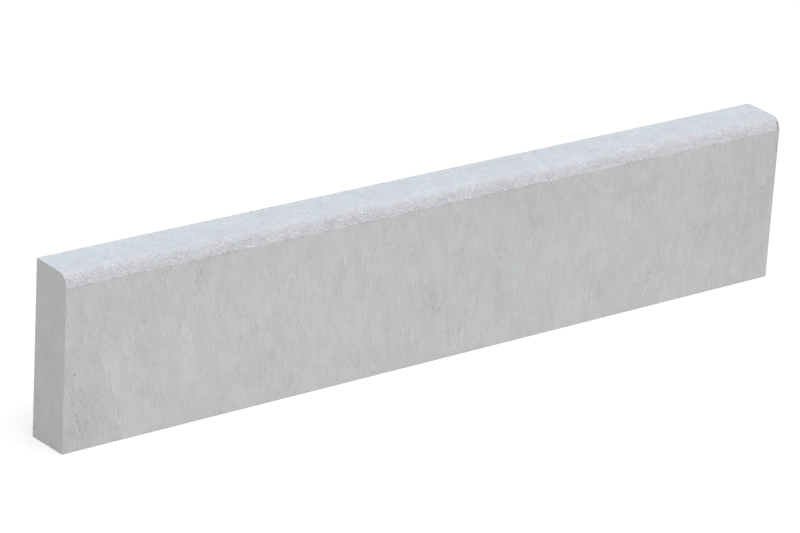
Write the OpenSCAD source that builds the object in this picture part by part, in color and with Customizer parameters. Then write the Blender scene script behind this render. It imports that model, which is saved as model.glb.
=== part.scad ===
// Precast concrete kerb stone: one solid, cast in one mould.
// Frame: +X runs along the kerb line, -Y is the exposed front face, +Z is up.
// Origin: middle of the base.

/* [Stone] */
// Length along the kerb line
stone_l = 1000; // [250:5:1500]
// Width of the base, front face to back face
stone_w = 55; // [40:1:150]
// Height of the back face, base to top
stone_h = 200; // [100:5:350]

/* [Top] */
// Fall of the top face from its back edge to the arris, which sheds water
top_fall = 1.5; // [0.5:0.5:4]
// Radius of the rounded front arris
arris_r = 13; // [5:1:25]

/* [Press line] */
// Depth of the step left under the arris, where the press shoe ran inside the mould wall
step_d = 0.8; // [0.4:0.1:1.5]
// Height of that step's slope
step_h = 1.5; // [0.5:0.1:3]

/* [Hidden] */
concrete = [0.74, 0.75, 0.745];
arris_fn = 96;

front_y = -stone_w / 2;
back_y = stone_w / 2;

// The arris is a quarter turn, from the top face's low edge to the step.
arris_y = front_y + step_d + arris_r;
crown_z = stone_h - top_fall;
arris_z = crown_z - arris_r;
front_top_z = arris_z - step_h;

// Everything behind the arris and below it, with the step's slope at the front.
module section_body() {
    polygon([
        [front_y, 0],
        [back_y, 0],
        [back_y, stone_h],
        [arris_y, crown_z],
        [arris_y, arris_z],
        [front_y + step_d, arris_z],
        [front_y, front_top_z]
    ]);
}

module arris() {
    translate([arris_y, arris_z]) circle(r = arris_r, $fn = arris_fn);
}

// The stone's cross-section, with Y drawn across and Z drawn up.
module section() {
    section_body();
    arris();
}

module kerb_stone() {
    color(concrete)
        translate([-stone_l / 2, 0, 0])
            rotate([90, 0, 90])
                linear_extrude(height = stone_l) section();
}

kerb_stone();
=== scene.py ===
# %% [markdown]
# # A concrete kerb stone
#
# The stone is one casting. A dry concrete mix is shaken and pressed into a steel mould, a shoe presses
# the top from above, and the mould is drawn off at once. Every face keeps the mark of what touched it:
# the sides are dragged smooth, the top stays open like damp sand, and a small ragged line runs where
# the shoe met the mould wall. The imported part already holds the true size, so it is loaded first, and
# everything below takes its place from it.

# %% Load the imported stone
import math

import bpy
import numpy as np
from mathutils import Matrix, Vector, noise
from mathutils.geometry import delaunay_2d_cdt


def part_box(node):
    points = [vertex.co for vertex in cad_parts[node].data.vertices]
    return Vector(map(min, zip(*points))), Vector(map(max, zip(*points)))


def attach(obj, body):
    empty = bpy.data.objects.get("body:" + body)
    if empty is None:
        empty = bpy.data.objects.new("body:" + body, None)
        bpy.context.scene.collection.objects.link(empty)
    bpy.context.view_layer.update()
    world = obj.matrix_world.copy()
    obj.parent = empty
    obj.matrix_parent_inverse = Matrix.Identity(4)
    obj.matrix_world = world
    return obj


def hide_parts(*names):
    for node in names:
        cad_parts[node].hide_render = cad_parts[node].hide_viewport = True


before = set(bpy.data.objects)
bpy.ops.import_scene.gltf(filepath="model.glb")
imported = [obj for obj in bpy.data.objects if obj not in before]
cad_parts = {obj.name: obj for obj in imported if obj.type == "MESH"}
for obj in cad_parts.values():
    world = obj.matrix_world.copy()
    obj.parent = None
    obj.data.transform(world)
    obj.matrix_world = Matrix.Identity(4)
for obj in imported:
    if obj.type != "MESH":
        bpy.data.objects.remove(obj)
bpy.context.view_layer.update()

# %% [markdown]
# ## The section
#
# The stone has the same section all along its length, so its skin can be rolled out flat, like the
# paper round a parcel. One number, the girth position, says how far round the section a point is. It
# starts at the back bottom edge and runs along the base, up the front, over the arris and the top, and
# down the back. A point of the skin is then the pair (x, girth), which is easy to scatter points over.

# %% Sizes of the section, in metres
MM = 0.001
SAME = 1e-7  # two places nearer to each other than this are one
low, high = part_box("kerb_stone")
length, width, height = high - low
top_fall = 1.5 * MM
arris_radius = 13.0 * MM
step_depth = 0.8 * MM
step_height = 1.5 * MM

front_y, back_y = low.y, high.y
arris_y = front_y + step_depth + arris_radius
arris_z = height - top_fall - arris_radius
ledge_z = arris_z - step_height

# %% The section as six stretches, each from one point (y, z) to the next
stretches = {
    "base": ((back_y, 0.0), (front_y, 0.0)),
    "front": ((front_y, 0.0), (front_y, ledge_z)),
    "ledge": ((front_y, ledge_z), (front_y + step_depth, arris_z)),
    "arris": ((front_y + step_depth, arris_z), (arris_y, arris_z + arris_radius)),
    "top": ((arris_y, arris_z + arris_radius), (back_y, height)),
    "back": ((back_y, height), (back_y, 0.0)),
}
span, girth = {}, 0.0
for name, (start, end) in stretches.items():
    run = math.dist(start, end)
    if name == "arris":
        run = arris_radius * math.pi / 2
    span[name] = (girth, girth + run)
    girth += run
print("girth of the section:", round(girth / MM, 1), "mm")

# %% Where a girth position lies, and which way is out of the stone there
def around(girths):
    """Gives (y, z) and the outward (y, z) direction for each girth position."""
    place = np.zeros((len(girths), 2))
    out = np.zeros((len(girths), 2))
    for name, (start, end) in stretches.items():
        first, last = span[name]
        here = (girths >= first - SAME) & (girths <= last + SAME)
        if name == "arris":
            angle = math.pi - (girths[here] - first) / arris_radius
            out[here] = np.stack([np.cos(angle), np.sin(angle)], axis=1)
            place[here] = np.array([arris_y, arris_z]) + arris_radius * out[here]
        else:
            share = ((girths[here] - first) / (last - first))[:, None]
            place[here] = np.array(start) * (1 - share) + np.array(end) * share
            along = (np.array(end) - np.array(start)) / (last - first)
            out[here] = (-along[1], along[0])
    return place, out


outline_count = 1500
outline_girths = np.linspace(0.0, girth, outline_count)
outline, outline_out = around(outline_girths)
corners = np.array([(v.co.y, v.co.z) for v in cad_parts["kerb_stone"].data.vertices])
misses = [np.hypot(*(outline - corner).T).min() for corner in corners]
print("the packed corners lie within", round(max(misses) / MM, 2), "mm of this section")

# %% [markdown]
# ## Scattering points over the skin
#
# A mesh needs its points close together only where there is something to see: at the grainy top, the
# press line, the worn edges and the air holes. Blender's subdivision tools split everything alike, so
# here the points are scattered densely or thinly, each nudged a little so that no grid shows.
# A Delaunay triangulation then joins them into well-shaped triangles. Seeded random numbers make the
# same stone on every run.

# %% A helper that scatters points over a rectangle
rng = np.random.default_rng(11)


def scatter(across, up, step_across, step_up):
    """Staggered rows of points, each nudged by up to a third of a step."""
    columns = max(round((across[1] - across[0]) / step_across), 1)
    rows = max(round((up[1] - up[0]) / step_up), 1)
    i, j = np.meshgrid(np.arange(columns), np.arange(rows))
    points = np.stack([i + 0.25 + 0.5 * (j % 2), j + 0.5], axis=-1).reshape(-1, 2)
    points += rng.uniform(-0.33, 0.33, points.shape)
    size = (across[1] - across[0], up[1] - up[0])
    return points / (columns, rows) * size + (across[0], up[0])


# %% Points over each face: steps along the stone and up it, in millimetres, thin on the plain sides
rim = 3.2 * MM
inside_x = (low.x + rim, high.x - rim)
face_steps = {"base": (6.0, 6.0), "front": (2.6, 6.0), "back": (3.8, 8.0)}
faces = [
    scatter(inside_x, (span[name][0] + rim, span[name][1] - rim), a * MM, b * MM)
    for name, (a, b) in face_steps.items()
]

# %% Denser points over the crown, which is the arris with the top, and the densest along the press line
crown_foot = span["arris"][0] + 1.2 * MM
crown_step = 1.55 * MM
crown = scatter(inside_x, (crown_foot, span["top"][1] - rim), crown_step, crown_step)
press_line = scatter(inside_x, (span["ledge"][0] - rim, crown_foot), 1.1 * MM, 0.75 * MM)
print("points: faces", sum(map(len, faces)), "crown", len(crown), "press line", len(press_line))

# %% [markdown]
# ## Rows of points along the sharp edges
#
# A steel mould gives sharp edges, but concrete can't hold a razor edge: it is worn to a radius of about
# half a millimetre. A bevel modifier would make that radius even and dead straight. Instead, rows of points
# follow each edge, closer together towards it, so that the edge can be rounded by an uneven amount.

# %% Rows along the long edges and columns at the two ends
edge_rows = np.array([0.0, 0.35, 0.8, 1.5, 2.5]) * MM
seam_x = np.arange(inside_x[0], inside_x[1], 2.4 * MM)


def row_at(x, where):
    """A row of points at these x places and one girth position."""
    return np.stack([x, np.full(len(x), where)], axis=1)


def rows_beside(edge, sides):
    """Rows of points beside the long edge at this girth position. Its own row comes once and stays put."""
    rows = []
    for side in sides:
        for k, offset in enumerate(edge_rows):
            if k == 0 and side < 0 and len(sides) == 2:
                continue
            nudge = rng.uniform(-0.6, 0.6, len(seam_x)) * MM * (k > 0)
            rows.append(row_at(seam_x + nudge, edge + side * offset))
    return np.concatenate(rows)


front_foot = span["front"][0]
back_top = span["back"][0]
long_rows = [
    rows_beside(0.0, (1,)),
    rows_beside(girth, (-1,)),
    rows_beside(front_foot, (1, -1)),
    rows_beside(back_top, (1, -1)),
]
lip_x = np.arange(inside_x[0], inside_x[1], 1.0 * MM)
lip_rows = [row_at(lip_x, span[name][0]) for name in ("ledge", "arris")]
print("points along the long edges:", sum(map(len, long_rows)), "and along the lip:", sum(map(len, lip_rows)))

# %% The rim of each end, shared by the skin and the end face
rim_girths = []
for name, (first, last) in span.items():
    gap = (0.75 if name == "ledge" else 1.9) * MM
    count = max(round((last - first) / gap), 1)
    rim_girths.extend(np.linspace(first, last, count, endpoint=False))
rim_girths = np.array(rim_girths + [girth])
end_columns = [
    np.stack([np.full(len(rim_girths), side * (length / 2 - offset)), rim_girths], axis=1)
    for side in (-1, 1)
    for offset in edge_rows
]
print("rim points at each end:", len(rim_girths))

# %% [markdown]
# ## Air holes
#
# Bubbles trapped against the mould leave small round holes, which concrete workers call bug holes. A
# dark dot painted on would look flat in raking light, so each hole is a real hollow: a centre point
# with four rings of points round it. The centre and the three inner rings are sunk later, and the outer
# ring holds the rim. Small holes are far more common than large ones. The materials also darken each
# hole by its depth, as painted shade with some dirt.

# %% Air holes as rows of (x, girth, radius)
def air_holes(across, up, count, smallest, largest):
    """Random air holes in a rectangle, small ones common and large ones rare."""
    centre = rng.uniform((across[0], up[0]), (across[1], up[1]), (count, 2))
    size = smallest + (largest - smallest) * rng.random(count) ** 4
    return np.column_stack([centre, size * MM])


# %% Air holes on each face: how many, and the smallest and largest radius in millimetres
hole_zones = {
    "base": (120, 0.5, 1.6),
    "front": (48, 0.3, 0.9),
    "arris": (40, 0.4, 1.0),
    "top": (70, 0.4, 1.1),
    "back": (110, 0.4, 1.3),
}
margin = 5 * MM
hole_x = (low.x + margin, high.x - margin)
holes = np.concatenate([
    air_holes(hole_x, (span[name][0] + margin, span[name][1] - margin), *numbers)
    for name, numbers in hole_zones.items()
])

# %% A row of drag holes near the left end, torn as the mould was drawn off
torn_start = np.array([low.x + 8 * MM, front_foot + 66 * MM])
torn_end = np.array([low.x + 27 * MM, front_foot + 6 * MM])
torn_count = 15
torn_steps = np.arange(torn_count)[:, None] + rng.uniform(-0.45, 0.45, (torn_count, 1))
torn_share = torn_steps / torn_count
torn = torn_start * (1 - torn_share) + torn_end * torn_share
torn[:, 0] += rng.uniform(-1.1, 1.1, torn_count) * MM
torn_size = rng.uniform(0.6, 0.95, (torn_count, 1)) * MM
holes = np.concatenate([holes, np.hstack([torn, torn_size])])

# %% A few larger air holes on the front: (x from the left end, height, radius) in millimetres
placed_holes = np.array([
    (13, 86, 1.1), (461, 161, 0.9), (580, 105, 1.2), (810, 42, 1.1),
    (978, 115, 0.8), (527, 96, 1.0), (955, 64, 0.8),
]) * MM
holes = np.concatenate([holes, placed_holes + (low.x, front_foot, 0.0)])
print("air holes on the skin:", len(holes))

# %% The rings of points that each hole needs, as parts of its radius and of its depth
ring_radii = (0.0, 0.55, 0.85, 1.0, 1.25)
ring_depths = (1.0, 0.8, 0.42, 0.1, 0.0)
ring_steps = 7


def hole_points(centres):
    """A centre and rings of points for each hole, with how far each point sinks, in metres."""
    points, sinks = [], []
    for radius, depth in zip(ring_radii, ring_depths):
        steps = ring_steps if radius else 1
        start = rng.uniform(0, 2 * math.pi, (len(centres), 1))
        angle = start + np.arange(steps) * 2 * math.pi / steps
        reach = centres[:, 2:] * radius * rng.uniform(0.88, 1.12, angle.shape)
        ring = np.stack([np.cos(angle), np.sin(angle)], axis=-1) * reach[..., None]
        points.append((centres[:, None, :2] + ring).reshape(-1, 2))
        sinks.append(np.repeat(centres[:, 2], steps) * depth)
    return np.concatenate(points), np.concatenate(sinks)


def clear_of(points, centres, reach=1.5):
    """The points that lie well outside every hole."""
    keep = np.ones(len(points), bool)
    for x, y, size in centres:
        keep &= np.hypot(points[:, 0] - x, points[:, 1] - y) > reach * size
    return points[keep]


# %% [markdown]
# ## Joining the points
#
# The rolled-out skin is triangulated as one flat sheet. Its first and last rows are the same edge of
# the stone, so they share their points, and so do the skin and the two end faces. That makes one closed
# shell with no gap for a slicer or a game engine to trip over.

# %% Triangulate the skin
ring_spots, ring_sinks = hole_points(holes)
loose = clear_of(np.concatenate([*faces, crown, press_line]), holes)
fixed = np.concatenate([*end_columns, *long_rows, *lip_rows])
sheet = np.concatenate([fixed, ring_spots, loose])


def chain(points, where):
    """Pairs of neighbours along the row at this girth position, so that a fold can run there."""
    row = np.flatnonzero(np.abs(points[:, 1] - where) < SAME)
    row = row[np.argsort(points[row, 0])]
    return np.stack([row[:-1], row[1:]], axis=1).tolist()


fold_girths = (front_foot, back_top, span["ledge"][0], span["arris"][0])
folds = sum((chain(sheet, where) for where in fold_girths), [])
WHOLE_SHEET, INSIDE_RIM = 0, 1  # what the triangles cover


def triangulate(points, edges, covers, tolerance=1e-6):
    """Delaunay triangles over flat points in metres, as rows of three point numbers."""
    flat = [Vector(p) for p in (points / MM).tolist()]
    _, _, found, came_from, _, _ = delaunay_2d_cdt(flat, edges, [], covers, tolerance)
    source = np.array([numbers[0] if numbers else -1 for numbers in came_from])
    triangles = source[np.array(found)]
    return triangles[(triangles >= 0).all(axis=1)]


skin_faces = triangulate(sheet, folds, WHOLE_SHEET)
print("skin:", len(sheet), "points,", len(skin_faces), "triangles")

# %% Triangulate the two end faces, starting from the rim that each shares with the skin
rim_count = len(rim_girths) - 1
rim_place, rim_out = around(rim_girths[:-1])


def to_outline(points):
    """Distance from each (y, z) to the outline, and the number of its nearest spot."""
    steps = np.hypot(*(points[:, None] - outline[None]).transpose(2, 0, 1))
    nearest = steps.argmin(axis=1)
    return steps[np.arange(len(points)), nearest], nearest


def end_face(hole_count):
    """Points (y, z) of one end face, its triangles, and how far each point sinks.

    It has the rim, rows that follow the rim inwards, the rings of a few air holes, and plain points.
    """
    bubbles = air_holes((front_y + margin, back_y - margin), (margin, ledge_z), hole_count, 0.4, 1.0)
    ring, sinks = hole_points(bubbles)
    inner, crowding = [], 0.97
    for offset in edge_rows[1:]:
        row = rim_place - rim_out * offset
        inner.append(row[to_outline(row)[0] > crowding * offset])
    plain = scatter((front_y, back_y), (0.0, height), 2.4 * MM, 2.6 * MM)
    plain = clear_of(plain[to_outline(plain)[0] > rim], bubbles)
    points = np.concatenate([rim_place, *inner, ring, plain])
    edges = [[k, (k + 1) % rim_count] for k in range(rim_count)]
    sunk = np.zeros(len(points))
    first = rim_count + sum(map(len, inner))
    sunk[first:first + len(ring)] = sinks
    return points, triangulate(points, edges, INSIDE_RIM), sunk


left_end, right_end = end_face(3), end_face(5)
print("end faces:", len(left_end[1]), "and", len(right_end[1]), "triangles")

# %% [markdown]
# ## One list of points for the whole stone
#
# The skin and the end faces now go into one list. For each point it holds the true place on the plain
# stone, the way out of it, the nearest girth position, how far off the edge of an end is and which way,
# and how far an air hole sinks it. All of the shaping below is arithmetic on these columns, which numpy
# does for every point at once.

# %% The skin's points
flat_place, flat_out = around(sheet[:, 1])
place = np.column_stack([sheet[:, 0], flat_place])
out = np.column_stack([np.zeros(len(sheet)), flat_out])
sink = np.zeros(len(sheet))
sink[len(fixed):len(fixed) + len(ring_spots)] = ring_sinks
at_girth = sheet[:, 1]
end_gap = length / 2 - np.abs(sheet[:, 0])
end_way = np.column_stack([np.sign(sheet[:, 0]), np.zeros((len(sheet), 2))])

# %% The end faces' points, which meet the skin at the rim points that both share
end_faces = []
for side, (points, triangles, sunk) in ((-1, left_end), (1, right_end)):
    column = np.flatnonzero(np.abs(sheet[:, 0] - side * length / 2) < SAME)
    column = column[np.argsort(sheet[column, 1])][:rim_count]
    points, sunk = points[rim_count:], sunk[rim_count:]
    numbers = np.concatenate([column, len(place) + np.arange(len(points))])
    end_faces.append(numbers[triangles[:, ::side]])
    gap, nearest = to_outline(points)
    way = np.column_stack([np.zeros(len(points)), outline_out[nearest]])
    place = np.vstack([place, np.column_stack([np.full(len(points), side * length / 2), points])])
    out = np.vstack([out, np.tile((side, 0.0, 0.0), (len(points), 1))])
    sink = np.concatenate([sink, sunk])
    at_girth = np.concatenate([at_girth, outline_girths[nearest]])
    end_gap = np.concatenate([end_gap, gap])
    end_way = np.vstack([end_way, way])
on_skin = np.arange(len(place)) < len(sheet)
print("points in all:", len(place))

# %% [markdown]
# ## Worn edges and chips
#
# Rounding is a small move for each point near an edge: off the flat face and onto a quarter
# round. Its radius wanders along the edge, and grows suddenly where a chip has broken off. A chip's
# broken skin is rough, so its points get a little disorder as well.

# %% Noise for every point, with lumps of a given size
def noise_at(points, size, stretch=(1.0, 1.0, 1.0), shift=0.0):
    """Smooth noise, about -1 to 1, for each row (x, y, z)."""
    scaled = points / (size * np.array(stretch)) + shift
    return np.array([noise.noise(Vector(p)) for p in scaled.tolist()])


def along_edge(distance, size, shift):
    """The same noise along a line."""
    return noise_at(np.column_stack([distance, np.zeros((len(distance), 2))]), size, shift=shift)


# %% Chips: (where along the edge, half its length, how deep), random small ones and a few placed ones
def random_chips(first, last, count):
    """Small chips at random along an edge."""
    where = rng.uniform(first, last, count)
    depth = (0.3 + 1.1 * rng.random(count) ** 3) * MM
    return list(zip(where, depth * rng.uniform(1.2, 2.6, count), depth))


back_foot_chips = random_chips(low.x, high.x, 22)
front_foot_chips = random_chips(low.x, high.x, 24)
back_top_chips = random_chips(low.x, high.x, 12)
left_chips = random_chips(0.0, girth, 9) + [
    (girth - 12 * MM, 3.0 * MM, 0.8 * MM),
    (girth - 31 * MM, 2.0 * MM, 0.5 * MM),
    (front_foot + 1 * MM, 3.0 * MM, 1.3 * MM),
]
right_chips = random_chips(0.0, girth, 10) + [
    (span["arris"][0] + 5 * MM, 6.0 * MM, 1.5 * MM),
    (span["ledge"][0] - 23 * MM, 2.5 * MM, 1.2 * MM),
]
all_chips = (back_foot_chips, front_foot_chips, back_top_chips, left_chips, right_chips)
print("chips on the edges:", sum(map(len, all_chips)))


# %% The radius of a worn edge, and how much of it is chip
def worn(along, chips, shift):
    """Edge radius and chip depth for each place along an edge."""
    slow = 0.22 * along_edge(along, 14 * MM, shift)
    quick = 0.16 * along_edge(along, 3 * MM, shift)
    radius = (0.55 + slow + quick) * MM
    chip = np.zeros(len(along))
    for where, half, depth in chips:
        chip = np.maximum(chip, depth * np.clip(1 - ((along - where) / half) ** 2, 0, 1))
    return radius + chip, chip


def rounded(gap, radius, outward, toward):
    """The move that takes points nearer than the radius onto a quarter round."""
    turn = math.pi / 4 * (1 - gap / radius)
    off_face = (radius * (np.cos(turn) - 1))[:, None] * outward
    to_edge = (radius * np.sin(turn) - (radius - gap))[:, None] * toward
    return np.where((gap < radius)[:, None], off_face + to_edge, 0.0)


def bruised(chip, gap, radius):
    """How much each point belongs to a chip's broken skin, from 0 to 1."""
    return np.clip(chip * (gap < radius + 0.5 * MM) / MM, 0, 1)


# %% Round the long edges. The first two are the back foot seen from both sides, so they wear alike.
FAR = 1.0  # a gap that no wear reaches, in metres
move = np.zeros_like(place)
bruise = np.zeros(len(place))
girth_way = np.column_stack([np.zeros(len(place)), out[:, 2], -out[:, 1]])
long_edges = (
    (0.0, back_foot_chips, 4.0),
    (girth, back_foot_chips, 4.0),
    (front_foot, front_foot_chips, 5.0),
    (back_top, back_top_chips, 6.0),
)
for edge, chips, shift in long_edges:
    radius, chip = worn(place[:, 0], chips, shift)
    gap = np.where(on_skin, np.abs(at_girth - edge), FAR)
    toward = girth_way * np.where(at_girth < edge, 1.0, -1.0)[:, None]
    move += rounded(gap, radius, out, toward)
    bruise = np.maximum(bruise, bruised(chip, gap, radius))

# %% Round the edges of both ends
for side, chips, shift in ((-1, left_chips, 8.0), (1, right_chips, 10.0)):
    radius, chip = worn(at_girth, chips, shift)
    gap = np.where(place[:, 0] * side > 0, end_gap, FAR)
    move += rounded(gap, radius, out, end_way)
    bruise = np.maximum(bruise, bruised(chip, gap, radius))
moved = np.abs(move).max(axis=1) > 0
print("points moved by wear:", int(moved.sum()), "of them chipped:", int((bruise > 0.1).sum()))

# %% [markdown]
# ## The relief of each face
#
# The faces differ in how they were made. The drawn sides are nearly flat, with faint waves and drag
# marks that run the way the mould moved. The pressed top has the open grain of sand. At the press line
# a thin lip of paste was dragged up past the shoe, and it broke off unevenly. Where an edge has chipped
# deeply, the shade in the chip is painted in as a dark spot, and a few dark specks sit along the back edge.

# %% Which part of the section each point is on, and how far the arris has turned down there
crown_share = np.clip((at_girth - span["arris"][0]) / (1.5 * MM), 0, 1)
crown_share *= (at_girth <= back_top) * on_skin
base_share = (at_girth < front_foot) * on_skin
side_share = 1 - crown_share - base_share
arris_turn = np.clip((span["arris"][1] - at_girth) / (arris_radius * math.pi / 2), 0, 1) * on_skin
arris_turn *= at_girth > span["ledge"][0]

# %% Painted shade in the deep chips, as dark spots, and dark specks on the back edge: (x, girth, how far each reaches), in metres
chip_shade_and_speck_places = (
    (low.x, girth - 12 * MM, 4.0 * MM),
    (low.x, girth - 31 * MM, 2.4 * MM),
    (high.x, span["arris"][0] + 1.0 * MM, 4.4 * MM),
    (high.x, span["arris"][0] + 6.0 * MM, 4.4 * MM),
    (high.x, span["ledge"][0] - 23 * MM, 3.6 * MM),
    (low.x + 227 * MM, back_top, 1.8 * MM),
    (low.x + 272 * MM, back_top, 1.8 * MM),
    (low.x + 287 * MM, back_top, 2.6 * MM),
    (low.x + 298 * MM, back_top, 2.6 * MM),
)
chip_shade_crispness = 2.2
chip_shade_and_specks = np.zeros(len(place))
for x, where, reach in chip_shade_and_speck_places:
    centre = (x, *around(np.array([where]))[0][0])
    away = np.linalg.norm(place - centre, axis=1) / reach
    chip_shade_and_specks = np.maximum(chip_shade_and_specks, np.clip(chip_shade_crispness * (1 - away), 0, 1))
print("points on dark pebbles:", int((chip_shade_and_specks > 0).sum()))

# %% Sink each face by its own relief, in millimetres
waves = 0.06 * (1 + noise_at(place, 110 * MM))
drags = 0.03 * (1 + noise_at(place, 9 * MM, stretch=(1, 1, 8)))
grain = 0.2 * np.abs(noise_at(place, 2.6 * MM))
grain += 0.14 * np.abs(noise_at(place, 6.5 * MM))
grain += rng.uniform(0, 0.1, len(place))
hollows = 0.12 * np.abs(noise_at(place, 14 * MM, shift=5.0))
depth = side_share * (waves + drags)
depth += crown_share * (0.6 * waves + grain + hollows)
depth += base_share * (0.5 * waves + 0.3 * grain)

# %% The relief fades out towards every edge, so that no triangle folds over there
fade_width, fade_least = 1.5 * MM, 0.1
hole_depth = 0.95  # of the hole's own radius
chip_roughness = 0.35 * MM
edge_gap = np.where(on_skin, np.minimum(end_gap, girth - at_girth), end_gap)
for edge in (0.0, front_foot, back_top):
    edge_gap = np.where(on_skin, np.minimum(edge_gap, np.abs(at_girth - edge)), edge_gap)
depth *= np.clip(edge_gap / fade_width, fade_least, 1)
move -= out * (depth * MM + hole_depth * sink)[:, None]
move += out * (bruise * noise_at(place, 1.4 * MM) * chip_roughness)[:, None]

# %% The ragged press line: its height wanders along the stone, and crumbs of paste stick out just over it
from_lip = np.where(on_skin, at_girth - span["ledge"][0], FAR)
near_lip = np.clip(1 - np.abs(from_lip) / (2.8 * MM), 0, 1)
along_x = (1, 9, 9)
ragged = 0.65 * noise_at(place, 8 * MM, stretch=along_x)
ragged += 0.7 * noise_at(place, 2.2 * MM, stretch=along_x)
move += girth_way * (near_lip * ragged * MM)[:, None]
at_foot = np.clip(1 - np.abs(from_lip - 2.2 * MM) / (2.4 * MM), 0, 1)
crumbs = np.clip(noise_at(place, 2.1 * MM, shift=2.0) - 0.05, 0, 1)
crumbs += np.clip(noise_at(place, 5.5 * MM) - 0.2, 0, 1)
crumb_height = 0.9 * MM
move += out * (at_foot * crumbs * crumb_height)[:, None]
shaped = np.clip(place + move, low, high)
print("deepest relief:", round(float(-(move * out).sum(axis=1).min()) / MM, 2), "mm")

# %% [markdown]
# ## The mesh
#
# The last row of the skin is the same edge as its first, so its points give way to theirs. Each face
# also gets its own part of a texture map: the front and the top are cut in two halves there, so that
# they get the most room. Numbers that the materials need later, such as how deep a hole is, go along
# as attributes of the points.

# %% Close the seam and drop the points that nothing uses
first_row = np.flatnonzero(np.abs(sheet[:, 1]) < SAME)
last_row = np.flatnonzero(np.abs(sheet[:, 1] - girth) < SAME)
first_row = first_row[np.argsort(sheet[first_row, 0])]
last_row = last_row[np.argsort(sheet[last_row, 0])]
same_as = np.arange(len(place))
same_as[last_row] = first_row
corners_of = np.concatenate([skin_faces, *end_faces])
used, joined = np.unique(same_as[corners_of], return_inverse=True)
joined = joined.reshape(-1, 3)

# %% Make the mesh
mesh = bpy.data.meshes.new("kerb_stone_cast")
mesh.from_pydata(shaped[used].tolist(), [], joined.tolist())
mesh.polygons.foreach_set("use_smooth", np.ones(len(joined), bool))
stone = bpy.data.objects.new("kerb_stone_cast", mesh)
bpy.context.scene.collection.objects.link(stone)
pairs = np.concatenate([joined[:, [a, b]] for a, b in ((0, 1), (1, 2), (2, 0))])
pair_uses = np.unique(np.sort(pairs, axis=1), axis=0, return_counts=True)[1]
print("mesh:", len(used), "points,", len(joined), "triangles")
print("edges that aren't shared by two triangles:", int((pair_uses != 2).sum()))

# %% Numbers that the mesh keeps for its materials, each held between 0 and 1
fully_hollow = 1.1 * MM
numbers_kept = {
    # hole depth; the materials darken by it, as painted shade and dirt in the holes
    "hollow": sink / fully_hollow,
    "bruise": bruise,
    "arris_turn": arris_turn,
    "near_lip": near_lip,
    "chip_shade_and_specks": chip_shade_and_specks,
}
for title, values in numbers_kept.items():
    layer = mesh.attributes.new(title, "FLOAT", "POINT")
    layer.data.foreach_set("value", np.clip(values[used], 0, 1).astype(np.float32))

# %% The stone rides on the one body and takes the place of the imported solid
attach(stone, "root")
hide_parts("kerb_stone")

# %% Which part of the stone each triangle belongs to
skin_x, skin_girth = sheet[skin_faces][..., 0], sheet[skin_faces][..., 1]
middle = skin_girth.mean(axis=1)
ledge_foot = span["ledge"][0]
part_of = np.full(len(joined), "left end", dtype=object)
part_of[:len(skin_faces)] = np.select(
    [middle < front_foot, middle < ledge_foot, middle < back_top],
    ["base", "front", "crown"],
    "back",
)
part_of[len(skin_faces) + len(end_faces[0]):] = "right end"
half = (skin_x.mean(axis=1) > 0).astype(float)
half[(middle > back_top) | (middle < front_foot)] = 0.0

# %% Shelves of the texture map, from the bottom up: (part, its girth, rows, height of a row)
shelves = (
    ("front", span["front"], 2, 0.262),
    ("crown", (ledge_foot, back_top), 2, 0.112),
    ("back", (back_top, girth), 1, 0.124),
    ("base", span["base"], 1, 0.036),
)
shelf, shelf_gap, row_pitch = 0.001, 0.0025, 1.012
overlap_before, overlaps = 6 * MM, 16 * MM
half_start = np.where(half > 0, 0.0, low.x)[:, None]
across_half = (skin_x - half_start + overlap_before) / (length / 2 + overlaps)
across_all = (skin_x - low.x) / length
uv = np.zeros((len(joined), 3, 2))
for part, (first, last), rows, tall in shelves:
    chosen = np.flatnonzero(part_of[:len(skin_faces)] == part)
    up = (skin_girth[chosen] - first) / (last - first)
    uv[chosen, :, 0] = across_half[chosen] if rows == 2 else across_all[chosen]
    uv[chosen, :, 1] = shelf + tall * (up + row_pitch * half[chosen][:, None])
    shelf += rows * (tall + shelf_gap)

# %% The ends lie side by side on the last shelf
end_left, end_pitch, end_long, end_tall = 0.004, 0.5, 0.48, 0.074
for number, part in enumerate(("left end", "right end")):
    chosen = np.flatnonzero(part_of == part)
    corner_places = place[corners_of[chosen]]
    uv[chosen, :, 0] = end_left + end_pitch * number + corner_places[..., 2] / height * end_long
    uv[chosen, :, 1] = shelf + (corner_places[..., 1] - low.y) / width * end_tall
uv_map = mesh.uv_layers.new(name="OFBake")
uv_map.data.foreach_set("uv", uv.astype(np.float32).ravel())
print("texture map runs from", uv.min((0, 1)).round(3), "to", uv.max((0, 1)).round(3))

# %% [markdown]
# ## Concrete, node by node
#
# A concrete surface is never one grey. Big faint clouds show where the mix was wetter, fine streaks
# where the mould dragged the paste, and single grains show lighter or darker. An image would hold only
# one stone's face, and it would stretch over the corners. Procedural noise in the stone's own metres
# covers every side at the true scale, so each pattern below is given its real size.

# %% Helpers that add nodes
def add_node(tree, kind, inputs, **settings):
    """Adds a node, and feeds its inputs with plain values or with other nodes' outputs."""
    made = tree.nodes.new(kind)
    for name, value in settings.items():
        setattr(made, name, value)
    for key, value in inputs.items():
        if isinstance(value, bpy.types.NodeSocket):
            tree.links.new(value, made.inputs[key])
        else:
            made.inputs[key].default_value = value
    return made


def maths(tree, operation, *values, clamp=False):
    """One sum with the Math node."""
    inputs = dict(enumerate(values))
    return add_node(tree, "ShaderNodeMath", inputs, operation=operation, use_clamp=clamp).outputs[0]


def vector_maths(tree, operation, *values):
    """One sum with the Vector Math node."""
    return add_node(tree, "ShaderNodeVectorMath", dict(enumerate(values)), operation=operation).outputs[0]


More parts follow.
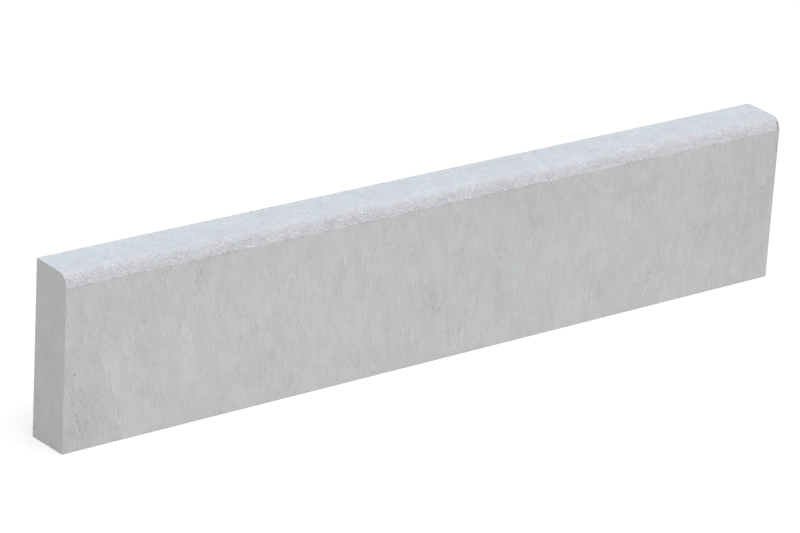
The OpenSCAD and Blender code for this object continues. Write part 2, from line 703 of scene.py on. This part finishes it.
def scaled(tree, vector, factor):
    """The vector times one number."""
    inputs = {"Vector": vector, "Scale": factor}
    return add_node(tree, "ShaderNodeVectorMath", inputs, operation="SCALE").outputs[0]


def ramp(tree, value, start, end):
    """0 where the value is at start and 1 where it is at end, straight in between and level beyond."""
    inputs = {"Value": value, "From Min": start, "From Max": end}
    return add_node(tree, "ShaderNodeMapRange", inputs).outputs[0]


def kept_number(tree, title):
    """A number that the mesh keeps for each point."""
    return add_node(tree, "ShaderNodeAttribute", {}, attribute_name=title).outputs["Fac"]


# %% How far the drag marks lean: the shift in x for each unit of height, and how it changes along x
LEAN_MIDDLE = 0.11
LEAN_CHANGE = -0.24

# %% The point's place in the stone, as it is or pushed about, so that patterns made from it bend too
def plain_place(tree):
    """The true place, in metres. The sum with zero only gives it a node that can carry its name."""
    true_place = tree.nodes.new("ShaderNodeTexCoord").outputs["Object"]
    return vector_maths(tree, "ADD", true_place, (0.0, 0.0, 0.0))


def leaning_place(tree):
    """The wavy place, shifted with the height, so that upright marks lean."""
    x, _, z = add_node(tree, "ShaderNodeSeparateXYZ", {0: own_place(tree)}).outputs
    slope = maths(tree, "MULTIPLY_ADD", x, LEAN_CHANGE, LEAN_MIDDLE)
    aside = add_node(tree, "ShaderNodeCombineXYZ", {0: maths(tree, "MULTIPLY", slope, z)}).outputs[0]
    return vector_maths(tree, "ADD", own_place(tree, "wavy"), aside)


def pushed_place(tree, base, step, reach):
    """Another kind of place, pushed about by up to this reach, by noise with lumps of this step."""
    coarse = scaled(tree, own_place(tree, base), 1 / step)
    push = add_node(tree, "ShaderNodeTexNoise", {"Vector": coarse, "Scale": 1.0, "Detail": 2.0})
    centred = vector_maths(tree, "SUBTRACT", push.outputs["Color"], (0.5, 0.5, 0.5))
    return vector_maths(tree, "MULTIPLY_ADD", centred, (2 * reach,) * 3, own_place(tree, base))


place_kinds = {
    "plain": plain_place,
    "wavy": lambda tree: pushed_place(tree, "plain", 90 * MM, 3 * MM),
    "leaning": leaning_place,
    "crinkled": lambda tree: pushed_place(tree, "leaning", 9 * MM, 8 * MM),
}


def own_place(tree, kind="plain"):
    """One kind of place. It is made once for each material, gets the kind as its name, and is shared."""
    if kind not in tree.nodes:
        place_kinds[kind](tree).node.name = kind
    return tree.nodes[kind].outputs[0]


# %% Patterns that the finishes are put together from
def lumps(tree, size, stretch=(1, 1, 1), detail=2.0, edges=(0.3, 0.7), kind="plain"):
    """Soft noise with lumps of this size in metres: 0 below the first edge and 1 above the second."""
    per_metre = [1 / (size * s) for s in stretch]
    where = vector_maths(tree, "MULTIPLY", own_place(tree, kind), per_metre)
    level = add_node(tree, "ShaderNodeTexNoise", {"Vector": where, "Scale": 1.0, "Detail": detail})
    return ramp(tree, level.outputs[0], *edges)


def spots(tree, kind, core, *places):
    """Soft spots on the front, 1 in the core and fading to 0 at their full reach.

    Each place is (x from the left end, height, half width, half height) in millimetres, and the core is
    given as a part of that reach.
    """
    into_stone = 25 * MM
    strongest = 0.0
    for from_left, z, half_x, half_z in places:
        x = from_left * MM + low.x
        lean = (LEAN_MIDDLE + LEAN_CHANGE * x) * z * MM
        aside = 0.0 if kind == "plain" else lean
        centre = (x + aside, front_y, z * MM)
        offset = vector_maths(tree, "SUBTRACT", own_place(tree, kind), centre)
        per_reach = (1 / (half_x * MM), 1 / into_stone, 1 / (half_z * MM))
        inputs = {0: vector_maths(tree, "MULTIPLY", offset, per_reach)}
        away = add_node(tree, "ShaderNodeVectorMath", inputs, operation="LENGTH").outputs["Value"]
        strongest = maths(tree, "MAXIMUM", strongest, ramp(tree, away, 1.0, core))
    return strongest


def grains(tree, size):
    """Cells of this size, each with a grey of its own from 0 to 1, and the distance to the cell's middle."""
    where = scaled(tree, own_place(tree), 1 / size)
    cells = add_node(tree, "ShaderNodeTexVoronoi", {"Vector": where, "Scale": 1.0})
    grey = add_node(tree, "ShaderNodeSeparateColor", {"Color": cells.outputs["Color"]}).outputs[0]
    return grey, cells.outputs["Distance"]


def dots(tree, size, share, radius):
    """Round dots: this share of the cells holds one, with its radius as a part of the cell's size."""
    grey, distance = grains(tree, size)
    chosen = maths(tree, "GREATER_THAN", grey, 1 - share)
    return maths(tree, "MULTIPLY", chosen, ramp(tree, distance, radius, radius * 0.5))


def weighed(tree, start, parts):
    """start, plus each part's pattern times its weight. Each part is (pattern, weight, centred).

    A centred pattern runs from 0 to 1 about a half, so half its weight comes off and the average stays.
    """
    total = start - sum(weight for _, weight, centred in parts if centred) / 2
    for pattern, weight, _ in parts:
        total = maths(tree, "MULTIPLY_ADD", pattern, weight, total)
    return total


# %% A concrete material from a lightness pattern, two tints and a height pattern
def concrete(title, tints, tint_share, lightness, height_pattern, bump_depth, roughness):
    """Fills in a new material's shader. Each pattern is a function that adds its nodes to the tree."""
    material = bpy.data.materials.new(title)
    material.use_nodes = True
    tree = material.node_tree
    tree.nodes.clear()
    first_tint, second_tint = ((*tint, 1) for tint in tints)
    blend = {"Factor": tint_share(tree), 6: first_tint, 7: second_tint}
    mixed = add_node(tree, "ShaderNodeMix", blend, data_type="RGBA").outputs[2]
    bump = {"Height": height_pattern(tree), "Distance": bump_depth, "Strength": 1.0}
    finish = {
        "Base Color": scaled(tree, mixed, lightness(tree)),
        "Roughness": roughness,
        "Specular IOR Level": 0.3,
        "Normal": add_node(tree, "ShaderNodeBump", bump).outputs[0],
    }
    shader = add_node(tree, "ShaderNodeBsdfPrincipled", finish)
    add_node(tree, "ShaderNodeOutputMaterial", {"Surface": shader.outputs[0]})
    return material


# %% [markdown]
# ## Drawn concrete: front and back
#
# The mould is lifted straight off these faces, and drags a thin skin of cement paste along. That leaves
# marks of four kinds. Short fine streaks, light and dark, run the way the mould went, leaning a little
# where it shook. Smooth lighter tongues show where the paste was wet enough to close up. Small dark
# mottles, and warmer blots, show where it stayed open. Single light and dark flecks are sand grains.

# %% Marks on the drawn faces
def streaks(tree):
    """Thin upright streaks, as light above 0 and dark below it, crisp in some places and gone in others."""
    light = lumps(tree, 1.1 * MM, stretch=(1, 1, 14), detail=0.0, edges=(0.53, 0.66), kind="leaning")
    dark = lumps(tree, 1.3 * MM, stretch=(1, 1, 7), detail=0.0, edges=(0.53, 0.68), kind="leaning")
    groups = lumps(tree, 24 * MM, stretch=(1, 1, 1.5), edges=(0.44, 0.60))
    strength = maths(tree, "MULTIPLY_ADD", groups, 0.9, 0.1)
    return maths(tree, "MULTIPLY", maths(tree, "SUBTRACT", light, dark), strength)


def tongues(tree, edges):
    """Smooth upright tongues of paste. Narrow edges give them a crisp outline."""
    return lumps(tree, 10 * MM, stretch=(1, 1, 3.0), detail=2.5, edges=edges, kind="leaning")


def large_tongues(tree, core):
    """A few long tongues towards the left end, where the mould caught as it was lifted."""
    return spots(
        tree, "crinkled", core,
        (58, 88, 8, 40), (78, 100, 3, 28), (156, 78, 8, 34), (226, 104, 3, 24),
    )


def rim_lines(tree, rise):
    """A thin bright line where a pattern rises from 0 to 1."""
    falling = maths(tree, "SUBTRACT", 1.0, rise)
    return maths(tree, "MULTIPLY", maths(tree, "MULTIPLY", rise, falling), 4.0)


def blots(tree):
    """Places where the paste stayed thin, and the sand under it shows warmer and darker."""
    return spots(
        tree, "crinkled", 0.35,
        (97, 92, 15, 19), (200, 82, 14, 17), (163, 163, 17, 14), (103, 153, 12, 9), (268, 54, 16, 12),
        (368, 28, 26, 20), (484, 66, 22, 34), (524, 107, 22, 18), (627, 138, 17, 20), (584, 45, 12, 20),
        (733, 34, 18, 16), (818, 44, 16, 12), (895, 88, 30, 14), (975, 92, 26, 44), (33, 52, 14, 16),
    )


def mottles(tree):
    """Small dark flecks that come in clusters, and over the blots."""
    flecks = lumps(tree, 2.4 * MM, stretch=(1, 1, 1.2), edges=(0.58, 0.68))
    clusters = lumps(tree, 45 * MM, edges=(0.48, 0.60))
    here = maths(tree, "MAXIMUM", clusters, blots(tree))
    return maths(tree, "MULTIPLY", flecks, maths(tree, "MULTIPLY_ADD", here, 0.85, 0.15))


def painted_lip_shadow(tree):
    """Painted shadow: a dark line under the lip, which comes and goes."""
    lip = maths(tree, "POWER", kept_number(tree, "near_lip"), 1.5)
    return maths(tree, "MULTIPLY", lip, lumps(tree, 24 * MM, edges=(0.45, 0.58)))


# %% The drawn material
def drawn_lightness(tree):
    """How light each spot of the paste is, about 1. The broad spots, which come first, are large clouds."""
    tongue_lines = rim_lines(tree, tongues(tree, (0.49, 0.52)))
    lines_here = lumps(tree, 38 * MM, detail=1.0, edges=(0.45, 0.6))
    white_chip = (773, 115, 1.6, 1.8)
    return weighed(tree, 1.006, [
        (spots(tree, "plain", 0.0, (8, 30, 80, 85)), -0.075, False),
        (spots(tree, "plain", 0.0, (995, 100, 130, 150)), -0.06, False),
        (spots(tree, "plain", 0.0, (630, 175, 100, 50)), -0.035, False),
        (spots(tree, "plain", 0.0, (300, 115, 260, 90), (700, 88, 100, 45)), 0.025, False),
        (lumps(tree, 60 * MM), 0.03, True),
        (lumps(tree, 20 * MM), 0.05, True),
        (lumps(tree, 3.2 * MM), 0.035, True),
        (tongues(tree, (0.47, 0.53)), 0.03, True),
        (maths(tree, "MULTIPLY", tongue_lines, lines_here), 0.05, False),
        (large_tongues(tree, 0.85), 0.035, False),
        (rim_lines(tree, large_tongues(tree, 0.8)), 0.05, False),
        (blots(tree), -0.022, False),
        (streaks(tree), 0.085, False),
        (mottles(tree), -0.12, False),
        (lumps(tree, 0.9 * MM, detail=1.0), 0.04, True),
        # darkened pinholes, which the bump also sinks: painted shade in them
        (dots(tree, 13 * MM, 0.2, 0.07), -0.25, False),
        (dots(tree, 5 * MM, 0.2, 0.15), 0.14, False),
        (spots(tree, "plain", 0.3, white_chip), 0.30, False),
        # painted shade and dirt in the air holes
        (kept_number(tree, "hollow"), -0.23, False),
        (kept_number(tree, "bruise"), 0.05, False),
        # painted shade in the deep chips, and dark specks
        (kept_number(tree, "chip_shade_and_specks"), -0.60, False),
        (kept_number(tree, "near_lip"), 0.04, False),
        # painted shadow under the lip
        (painted_lip_shadow(tree), -0.21, False),
    ])


def drawn_tint(tree):
    """Cool where the paste closed up, warm over the blots, under the lip and in a few more patches."""
    patches = lumps(tree, 24 * MM, detail=4.0, edges=(0.55, 0.61))
    warm = maths(tree, "MAXIMUM", patches, blots(tree))
    warm = maths(tree, "MAXIMUM", warm, kept_number(tree, "near_lip"))
    clouds = maths(tree, "MULTIPLY", lumps(tree, 40 * MM), 0.35)
    return maths(tree, "MULTIPLY_ADD", warm, 0.6, clouds, clamp=True)


def drawn_height(tree):
    """The fine relief of the paste: streaks, flecks and pinholes."""
    return weighed(tree, 0.0, [
        (streaks(tree), 0.8, False),
        (mottles(tree), -1.0, True),
        (large_tongues(tree, 0.85), 0.5, False),
        (lumps(tree, 0.9 * MM, detail=1.0), 0.3, True),
        (dots(tree, 13 * MM, 0.2, 0.07), -2.0, False),
    ])


drawn = concrete(
    "drawn concrete",
    tints=((0.5415, 0.5585, 0.5495), (0.5615, 0.5470, 0.5495)),
    tint_share=drawn_tint,
    lightness=drawn_lightness,
    height_pattern=drawn_height,
    bump_depth=0.10 * MM,
    roughness=0.86,
)

# %% [markdown]
# ## End concrete
#
# The two ends were made against the mould's short walls. Nothing dragged over them for long, so they are
# calm: soft clouds, a few faint darker patches and hardly a streak.

# %% The end material
def end_lightness(tree):
    """Calm clouds, about 1."""
    return weighed(tree, 1.0, [
        (lumps(tree, 34 * MM, stretch=(1, 1, 1.6)), 0.05, True),
        (lumps(tree, 9 * MM, stretch=(1, 1, 1.8)), 0.045, True),
        (lumps(tree, 2.6 * MM, stretch=(1, 1, 2.5)), 0.025, True),
        (mottles(tree), -0.04, False),
        # painted shade and dirt in the air holes
        (kept_number(tree, "hollow"), -0.22, False),
        (kept_number(tree, "bruise"), 0.05, False),
        # painted shade in the deep chips
        (kept_number(tree, "chip_shade_and_specks"), -0.60, False),
    ])


end_cast = concrete(
    "end concrete",
    tints=((0.530, 0.541, 0.534), (0.547, 0.538, 0.538)),
    tint_share=lambda tree: lumps(tree, 18 * MM, edges=(0.35, 0.65)),
    lightness=end_lightness,
    height_pattern=lambda tree: lumps(tree, 2.6 * MM, stretch=(1, 1, 2), detail=3.0),
    bump_depth=0.08 * MM,
    roughness=0.86,
)

# %% [markdown]
# ## Open-grained concrete: the pressed top and the arris
#
# The shoe presses the top but nothing drags over it, so single sand grains stand proud and sparkle a
# little, more in some patches than in others. Lower on the arris the grain gets coarser and takes on a
# faint lavender tone, because less paste reaches it. The change runs along a ragged line. At the foot,
# thin smears of paste run along the stone, and the back edge of the top carries a dusty lighter rim.
# Low on the arris the colour is also lightened, as painted light that makes up for the light lost where
# the face turns down, and the top's cool tint is partly painted sky light.

# %% Where a spot is on the crown: how far down the arris, and how near the back edge
def down_arris(tree, start, end):
    """A ramp over the turn of the arris, which goes from 0 at the top to 1 at its foot."""
    return ramp(tree, kept_number(tree, "arris_turn"), start, end)


def arris_foot(tree):
    """0 on the top and 1 low on the arris, with a ragged border between them."""
    turn = kept_number(tree, "arris_turn")
    uneven = maths(tree, "MULTIPLY_ADD", lumps(tree, 11 * MM, detail=3.0), 0.45, turn)
    crumbled = maths(tree, "MULTIPLY_ADD", grains(tree, 1.4 * MM)[0], 0.35, uneven)
    return ramp(tree, crumbled, 0.72, 1.02)


def arris_speckle(tree):
    """The belt where the coarse grain starts, with the strongest light and dark specks."""
    return maths(tree, "MULTIPLY", down_arris(tree, 0.15, 0.5), down_arris(tree, 1.1, 0.7))


def low_arris_painted_light(tree):
    """The lowest part of the arris, from 0 to 1 down it. In the lightness it is painted light, which makes up
    for the light that the turning face loses; it also bounds the smears.
    """
    return down_arris(tree, 0.5, 1.0)


def rear_rim(tree):
    """The dusty lighter rim along the back edge of the top."""
    y = add_node(tree, "ShaderNodeSeparateXYZ", {0: own_place(tree)}).outputs[1]
    return ramp(tree, y, back_y - 7 * MM, back_y)


# %% The grains of the crown, each stronger in the coarse patches
def coarse_patches(tree):
    """How open the grain is, patch by patch, about 1."""
    return maths(tree, "MULTIPLY_ADD", lumps(tree, 26 * MM, edges=(0.41, 0.59)), 1.3, 0.35)


def grain_belt(tree):
    """How strongly single grains show: faintly on the top, and most on the arris."""
    belt = maths(tree, "MULTIPLY_ADD", arris_speckle(tree), 0.8, 0.2)
    return maths(tree, "MULTIPLY", belt, coarse_patches(tree))


def sparkle(tree):
    """Light grains of two sizes, all over the crown."""
    larger = dots(tree, 3.4 * MM, 0.45, 0.26)
    both = maths(tree, "MULTIPLY_ADD", larger, 1.85, dots(tree, 2.2 * MM, 0.5, 0.30))
    return maths(tree, "MULTIPLY", both, coarse_patches(tree))


def smears(tree):
    """Smears of paste along the foot of the arris, as light above 0 and dark below it."""
    smear = lumps(tree, 2.6 * MM, stretch=(4.5, 1, 1), edges=(0.42, 0.58))
    return maths(tree, "MULTIPLY", maths(tree, "SUBTRACT", smear, 0.5), low_arris_painted_light(tree))


def fringe(tree):
    """Light crumbs along the very foot of the arris, just over the press line."""
    crumbs_here = lumps(tree, 2.6 * MM, stretch=(1.5, 1, 1), edges=(0.48, 0.62))
    return maths(tree, "MULTIPLY", down_arris(tree, 0.76, 0.92), crumbs_here)


# %% The open-grained material
def open_lightness(tree):
    """How light each spot of the top is, with the arris darker and more speckled towards its foot."""
    belt = grain_belt(tree)
    sand = maths(tree, "SUBTRACT", grains(tree, 1.3 * MM)[0], 0.5)
    return weighed(tree, 0.994, [
        (lumps(tree, 34 * MM), 0.06, True),
        (lumps(tree, 9 * MM, detail=3.0), 0.07, True),
        (lumps(tree, 3.0 * MM), 0.07, True),
        (grains(tree, 1.3 * MM)[0], 0.07, True),
        (maths(tree, "MULTIPLY", sand, belt), 0.12, False),
        (maths(tree, "MULTIPLY", dots(tree, 3.2 * MM, 0.5, 0.22), belt), 0.10, False),
        (maths(tree, "MULTIPLY", dots(tree, 3.6 * MM, 0.5, 0.20), belt), -0.10, False),
        (sparkle(tree), 0.13, False),
        (smears(tree), 0.13, False),
        (rear_rim(tree), 0.035, False),
        # darkened pits, which the bump also sinks: painted shade in them
        (dots(tree, 7 * MM, 0.25, 0.11), -0.22, False),
        (dots(tree, 8 * MM, 0.3, 0.13), 0.30, False),
        (arris_foot(tree), -0.055, False),
        # painted light low on the arris, for the light that its turn loses
        (low_arris_painted_light(tree), 0.067, False),
        (arris_speckle(tree), -0.02, False),
        (fringe(tree), 0.10, False),
        # painted shade and dirt in the air holes
        (kept_number(tree, "hollow"), -0.24, False),
        # painted shade in the deep chips, and dark specks
        (kept_number(tree, "chip_shade_and_specks"), -0.60, False),
    ])


def open_height(tree):
    """Rounded grains standing out of the paste."""
    _, distance = grains(tree, 1.3 * MM)
    return weighed(tree, 0.0, [
        (distance, -1.0, True),
        (lumps(tree, 4 * MM, detail=3.0), 1.2, True),
        (dots(tree, 7 * MM, 0.25, 0.10), -1.0, False),
    ])


def open_tint(tree):
    """Cool on the top, partly painted sky light, and faintly pink low on the arris, with single warm grains
    in both.
    """
    patches = maths(tree, "MULTIPLY_ADD", lumps(tree, 16 * MM, detail=3.0), 1.1, -0.42)
    warm = maths(tree, "MULTIPLY_ADD", maths(tree, "SUBTRACT", grains(tree, 1.9 * MM)[0], 0.5), 0.5, patches)
    warm = maths(tree, "MULTIPLY_ADD", down_arris(tree, 0.0, 0.25), 0.42, warm)
    return maths(tree, "MULTIPLY_ADD", arris_foot(tree), 0.5, warm, clamp=True)


open_grained = concrete(
    "open-grained concrete",
    # the first tint's cool blue is partly painted sky light on the top
    tints=((0.577, 0.617, 0.660), (0.585, 0.573, 0.613)),
    tint_share=open_tint,
    lightness=open_lightness,
    height_pattern=open_height,
    bump_depth=0.3 * MM,
    roughness=0.92,
)

# %% [markdown]
# ## Bed concrete: the underside
#
# The stone is cast standing on a flat pallet. Its underside is even and a little sandy, with no streaks.

# %% Patterns of the underside
def bed_lightness(tree):
    """Even grey with sand grains."""
    return weighed(tree, 0.95, [
        (lumps(tree, 35 * MM, detail=3.0), 0.10, True),
        (grains(tree, 1.8 * MM)[0], 0.07, True),
        # painted shade and dirt in the air holes
        (kept_number(tree, "hollow"), -0.34, False),
    ])


bed = concrete(
    "bed concrete",
    tints=((0.53, 0.54, 0.53), (0.54, 0.53, 0.52)),
    tint_share=lambda tree: lumps(tree, 30 * MM),
    lightness=bed_lightness,
    height_pattern=lambda tree: lumps(tree, 1.8 * MM, detail=3.0),
    bump_depth=0.2 * MM,
    roughness=0.9,
)

# %% Put each material on its faces. Drawn paste also covers the ledge here and there, as a patchy lip.
finishes = {
    "front": drawn,
    "back": drawn,
    "left end": end_cast,
    "right end": end_cast,
    "crown": open_grained,
    "base": bed,
}
slots = [drawn, end_cast, open_grained, bed]
for material in slots:
    mesh.materials.append(material)
finish_of = np.array([slots.index(finishes[part]) for part in part_of])
least_paste = -0.05
dragged_up = (middle > span["ledge"][0]) & (middle < span["ledge"][1])
dragged_up &= along_edge(skin_x.mean(axis=1), 5 * MM, 2.0) > least_paste
finish_of[:len(skin_faces)][dragged_up] = slots.index(drawn)
mesh.polygons.foreach_set("material_index", finish_of)
mesh.update()
for number, material in enumerate(slots):
    print(material.name, "covers", int((finish_of == number).sum()), "triangles")

# %% [markdown]
# ## Floor, light and camera
#
# Plain soft light shows a matt grey best. One broad sun lamp, slightly blue like the sky, stands nearly
# overhead, so that the top is the lightest face and the grain still casts a little shade. A white world
# lights the sides dimly, though the camera sees it at full strength. The floor glows a little, which
# keeps the stone's shadow faint.

# %% A pale floor that glows, just below the stone's base
floor_reach = 40.0
floor_drop = 0.3 * MM
floor_corners = [(x * floor_reach, y * floor_reach, 0.0) for x, y in ((-1, -1), (1, -1), (1, 1), (-1, 1))]
floor_mesh = bpy.data.meshes.new("floor")
floor_mesh.from_pydata(floor_corners, [], [(0, 1, 2, 3)])
floor = bpy.data.objects.new("floor", floor_mesh)
floor.location.z = -floor_drop
bpy.context.scene.collection.objects.link(floor)
floor_material = bpy.data.materials.new("pale floor")
floor_material.use_nodes = True
floor_shader = floor_material.node_tree.nodes["Principled BSDF"]
floor_shader.inputs["Base Color"].default_value = (0.45, 0.45, 0.45, 1)
floor_shader.inputs["Emission Color"].default_value = (1, 1, 1, 1)
floor_shader.inputs["Emission Strength"].default_value = 0.576
floor_shader.inputs["Roughness"].default_value = 0.9
floor_shader.inputs["Specular IOR Level"].default_value = 0.1
floor_mesh.materials.append(floor_material)

# %% A white world, dimmed for everything but the camera
dimmed = 0.31
world = bpy.data.worlds.new("studio")
world.use_nodes = True
world_tree = world.node_tree
background = world_tree.nodes["Background"]
seen_directly = world_tree.nodes.new("ShaderNodeLightPath").outputs["Is Camera Ray"]
levels = {"Value": seen_directly, "To Min": dimmed, "To Max": 1.0}
strength = add_node(world_tree, "ShaderNodeMapRange", levels)
world_tree.links.new(strength.outputs[0], background.inputs["Strength"])
background.inputs["Color"].default_value = (1, 1, 1, 1)
bpy.context.scene.world = world

# %% One broad lamp nearly overhead, a little towards the front
softbox = bpy.data.objects.new("softbox", bpy.data.lights.new("softbox", "SUN"))
softbox.data.angle = math.radians(50)
softbox.data.energy = 2.74
softbox.data.color = (0.975, 0.99, 1.0)
towards_lamp = Vector((0.06, -0.26, 1.0))
softbox.rotation_euler = towards_lamp.to_track_quat("Z", "Y").to_euler()
bpy.context.scene.collection.objects.link(softbox)

# %% The camera looks from the front left, a little above, with a long lens
aim = Vector((-0.0399, 0.0, 0.1090))
azimuth, elevation, roll = (math.radians(a) for a in (-39.70, 20.94, 3.37))
camera_distance = 4.27
level_way = Vector((math.sin(azimuth), -math.cos(azimuth), 0.0))
back_way = level_way * math.cos(elevation) + Vector((0.0, 0.0, math.sin(elevation)))
camera = bpy.data.objects.new("camera", bpy.data.cameras.new("camera"))
camera.data.lens = 175.25
camera.data.sensor_width = 36.0
camera.data.clip_start = 0.1
camera.data.clip_end = 200.0
look = (-back_way).to_track_quat("-Z", "Y").to_matrix() @ Matrix.Rotation(roll, 3, "Z")
camera_place = aim + back_way * camera_distance
camera.matrix_world = Matrix.Translation(camera_place) @ look.to_4x4()
bpy.context.scene.collection.objects.link(camera)
bpy.context.scene.camera = camera
bpy.context.scene.view_settings.view_transform = "Standard"
print("camera at", [round(v, 2) for v in camera_place], "with a lens of", camera.data.lens, "mm")
